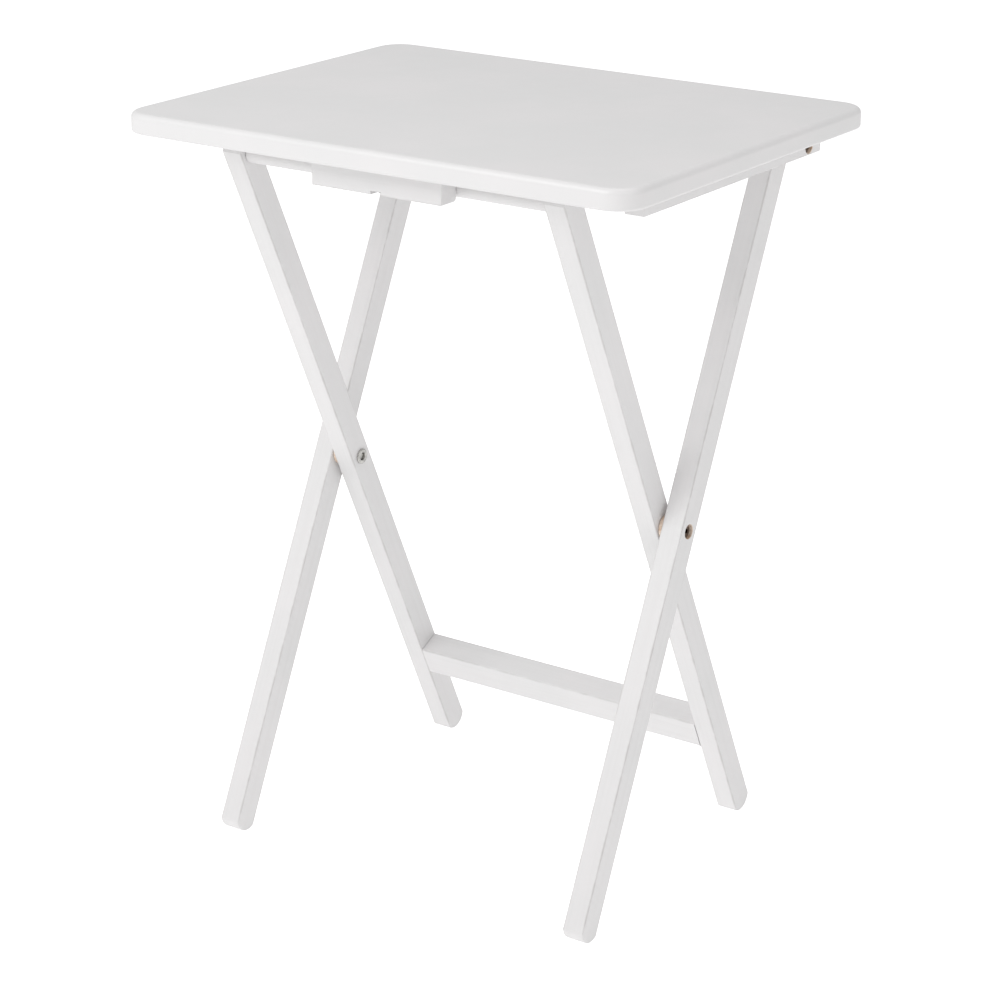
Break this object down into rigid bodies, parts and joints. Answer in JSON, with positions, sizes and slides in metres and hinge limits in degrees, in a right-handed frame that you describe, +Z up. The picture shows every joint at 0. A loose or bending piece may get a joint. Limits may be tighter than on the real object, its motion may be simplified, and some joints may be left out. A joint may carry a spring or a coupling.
{
  "type": "folding tray table",
  "caption": "Folding wooden tray table: a round-cornered top on two crossed leg frames that scissor flat, with a top that lifts about its rear pivots.",
  "frame": {"origin": "on the floor, below the middle of the tray top", "axes": "+X along the long side of the top, -Y the front, +Z up"},
  "size_m": [0.483, 0.371, 0.633],
  "materials": {
    "white_paint": "satin white paint over planed wood",
    "bare_wood": "bare sanded beech",
    "zinc_steel": "bright zinc plate",
    "spring_steel": "blank spring steel"
  },
  "bodies": {
    "outer_frame": {"outer_leg_left": "white_paint", "outer_leg_right": "white_paint", "crossing_bolt_left": "zinc_steel", "crossing_bolt_right": "zinc_steel", "crossing_nut_left": "zinc_steel", "crossing_nut_right": "zinc_steel", "crossing_spacer_left": "bare_wood", "crossing_spacer_right": "bare_wood", "top_pivot_bolt_left": "zinc_steel", "top_pivot_bolt_right": "zinc_steel", "top_pivot_nut_left": "zinc_steel", "top_pivot_nut_right": "zinc_steel", "top_pivot_spacer_left": "bare_wood", "top_pivot_spacer_right": "bare_wood"},
    "inner_frame": {"inner_leg_left": "white_paint", "inner_leg_right": "white_paint", "top_rail": "white_paint", "stretcher": "white_paint", "rail_brad_left": "zinc_steel", "rail_brad_right": "zinc_steel", "stretcher_pin_left_1": "bare_wood", "stretcher_pin_left_2": "bare_wood", "stretcher_pin_right_1": "bare_wood", "stretcher_pin_right_2": "bare_wood"},
    "tray": {"tabletop": "white_paint", "cleat_left": "white_paint", "cleat_right": "white_paint", "catch_block": "white_paint", "rail_clip": "spring_steel", "clip_screw": "zinc_steel", "cleat_screw_left_1": "zinc_steel", "cleat_screw_left_2": "zinc_steel", "cleat_screw_left_3": "zinc_steel", "cleat_screw_right_1": "zinc_steel", "cleat_screw_right_2": "zinc_steel", "cleat_screw_right_3": "zinc_steel", "block_screw_left": "zinc_steel", "block_screw_right": "zinc_steel"}
  },
  "joints": [
    {"name": "leg_scissor", "type": "hinge", "parent": "outer_frame", "child": "inner_frame", "pos_m": [0, 0.002, 0.30768], "axis": [-1, 0, 0], "range_deg": [0, 50.4], "deforming": ["rail_clip"]},
    {"name": "tray_follow", "type": "hinge", "parent": "outer_frame", "child": "tray", "pos_m": [0, 0.14075, 0.6022], "axis": [-1, 0, 0], "range_deg": [0, 25.2]}
  ],
  "couplings": [
    {"joint": "tray_follow", "follows": "leg_scissor", "ratio": 0.5}
  ]
}
